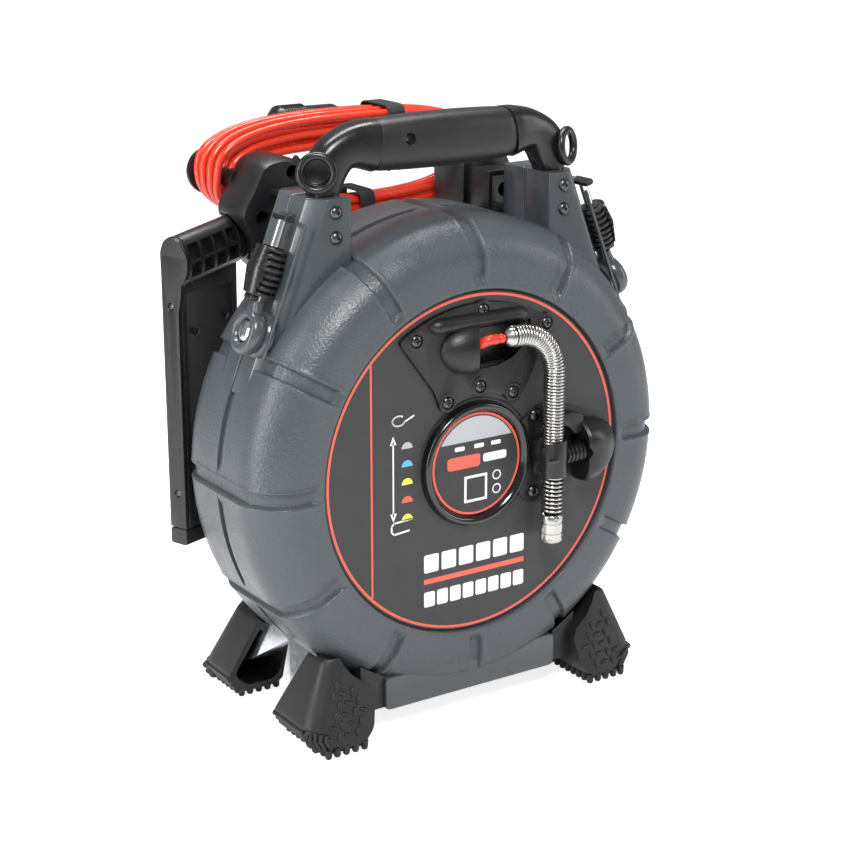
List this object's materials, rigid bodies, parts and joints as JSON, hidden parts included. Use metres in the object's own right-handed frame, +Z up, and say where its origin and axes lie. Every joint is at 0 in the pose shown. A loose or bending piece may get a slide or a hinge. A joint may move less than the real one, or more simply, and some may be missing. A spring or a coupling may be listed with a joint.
{
  "type": "drain inspection camera",
  "caption": "Drum reel with a push cable and a camera head on a flexible spring, in a round two-part case on rubber feet, with a carry handle and a tilting monitor dock.",
  "frame": {"origin": "on the floor, at the centre of the footprint box", "axes": "+X to the right as seen from the label plate, +Y from the plate to the back along the drum's axis, +Z up"},
  "size_m": [0.3374, 0.2374, 0.418],
  "materials": {
    "case_shell": "satin moulded, fine grain",
    "label_plate": "matt printed film",
    "black_plastic": "moulded, fine grain",
    "gloss_black": "polished",
    "soft_grip": "soft-touch matt",
    "foot_rubber": "matt rubber",
    "bright_steel": "bright stainless",
    "plain_steel": "ground",
    "chrome_screw": "plated",
    "dark_screw": "black zinc",
    "brass_fitting": "turned",
    "lens_glass": "clear sapphire",
    "drum_plastic": "moulded",
    "orange_cable": "smooth extruded jacket",
    "strap_fabric": "hook and loop"
  },
  "bodies": {
    "rear_half": {"rear_case": "case_shell", "case_hinge_pin": "plain_steel", "rear_bearing": "plain_steel", "slip_ring": "brass_fitting", "foot_rear_left": "foot_rubber", "foot_rear_right": "foot_rubber", "dock_bracket_left": "black_plastic", "dock_bracket_right": "black_plastic", "cable_flange_left": "black_plastic", "cable_flange_right": "black_plastic", "dock_collar": "black_plastic", "system_cable": "orange_cable", "cable_plug": "black_plastic", "cable_strap": "strap_fabric", "cable_tie": "strap_fabric"},
    "front_half": {"front_case": "case_shell", "front_plate": "label_plate", "guide_cover": "black_plastic", "guide_screw_1": "dark_screw", "guide_screw_2": "dark_screw", "guide_screw_3": "dark_screw", "guide_screw_4": "dark_screw", "guide_screw_5": "dark_screw", "guide_screw_6": "dark_screw", "hub_ring": "gloss_black", "hub_label": "label_plate", "clip_bracket": "black_plastic", "clip_screw_1": "dark_screw", "clip_screw_2": "dark_screw", "camera_clip": "black_plastic", "push_cable_lead": "orange_cable", "handle_frame": "black_plastic", "strap_pin_left": "bright_steel", "strap_pin_right": "bright_steel", "grip_front": "soft_grip", "grip_rear": "soft_grip", "grip_screw": "dark_screw", "tower_screw_left_1": "dark_screw", "tower_screw_left_2": "dark_screw", "tower_screw_right_1": "dark_screw", "tower_screw_right_2": "dark_screw", "latch_screw_left": "chrome_screw", "latch_screw_right": "chrome_screw", "foot_front_left": "foot_rubber", "foot_front_right": "foot_rubber"},
    "camera": {"camera_head": "bright_steel", "camera_window": "lens_glass", "flex_spring": "bright_steel", "spring_ferrule": "bright_steel"},
    "drum_body": {"drum": "drum_plastic", "push_cable_coil": "orange_cable", "front_centre": "brass_fitting"},
    "latch_left": {"latch_rod_left": "black_plastic"},
    "latch_right": {"latch_rod_right": "black_plastic"},
    "latch_sleeve_left": {"latch_grip_left": "soft_grip"},
    "latch_sleeve_right": {"latch_grip_right": "soft_grip"},
    "dock_panel": {"dock_plate": "black_plastic", "dock_end_cap": "black_plastic", "dock_hook_upper": "black_plastic", "dock_hook_lower": "black_plastic"}
  },
  "joints": [
    {"name": "case_open", "type": "hinge", "parent": "rear_half", "child": "front_half", "pos_m": [0.0012, -0.03768, 0.01], "axis": [1, 0, 0], "range_deg": [0, 80]},
    {"name": "drum_spin", "type": "hinge", "parent": "rear_half", "child": "drum_body", "pos_m": [0.0012, -0.03468, 0.184], "axis": [0, 1, 0], "continuous": true},
    {"name": "camera_swing", "type": "hinge", "parent": "front_half", "child": "camera", "pos_m": [0.0117, -0.10868, 0.273], "axis": [0, 1, 0], "range_deg": [0, 50]},
    {"name": "latch_swing_left", "type": "hinge", "parent": "front_half", "child": "latch_left", "pos_m": [-0.14807, -0.05068, 0.288], "axis": [0.9304, 0, -0.3665], "range_deg": [0, 60]},
    {"name": "latch_swing_right", "type": "hinge", "parent": "front_half", "child": "latch_right", "pos_m": [0.15047, -0.05068, 0.288], "axis": [0.9304, 0, 0.3665], "range_deg": [0, 60]},
    {"name": "latch_slide_left", "type": "slide", "parent": "latch_left", "child": "latch_sleeve_left", "axis": [0.3665, 0, 0.9304], "range_m": [0, 0.01]},
    {"name": "latch_slide_right", "type": "slide", "parent": "latch_right", "child": "latch_sleeve_right", "axis": [-0.3665, 0, 0.9304], "range_m": [0, 0.01]},
    {"name": "dock_tilt", "type": "hinge", "parent": "rear_half", "child": "dock_panel", "pos_m": [-0.10648, 0.0402, 0.33], "axis": [0.9327, 0.3395, 0.1219], "range_deg": [0, 75]}
  ]
}
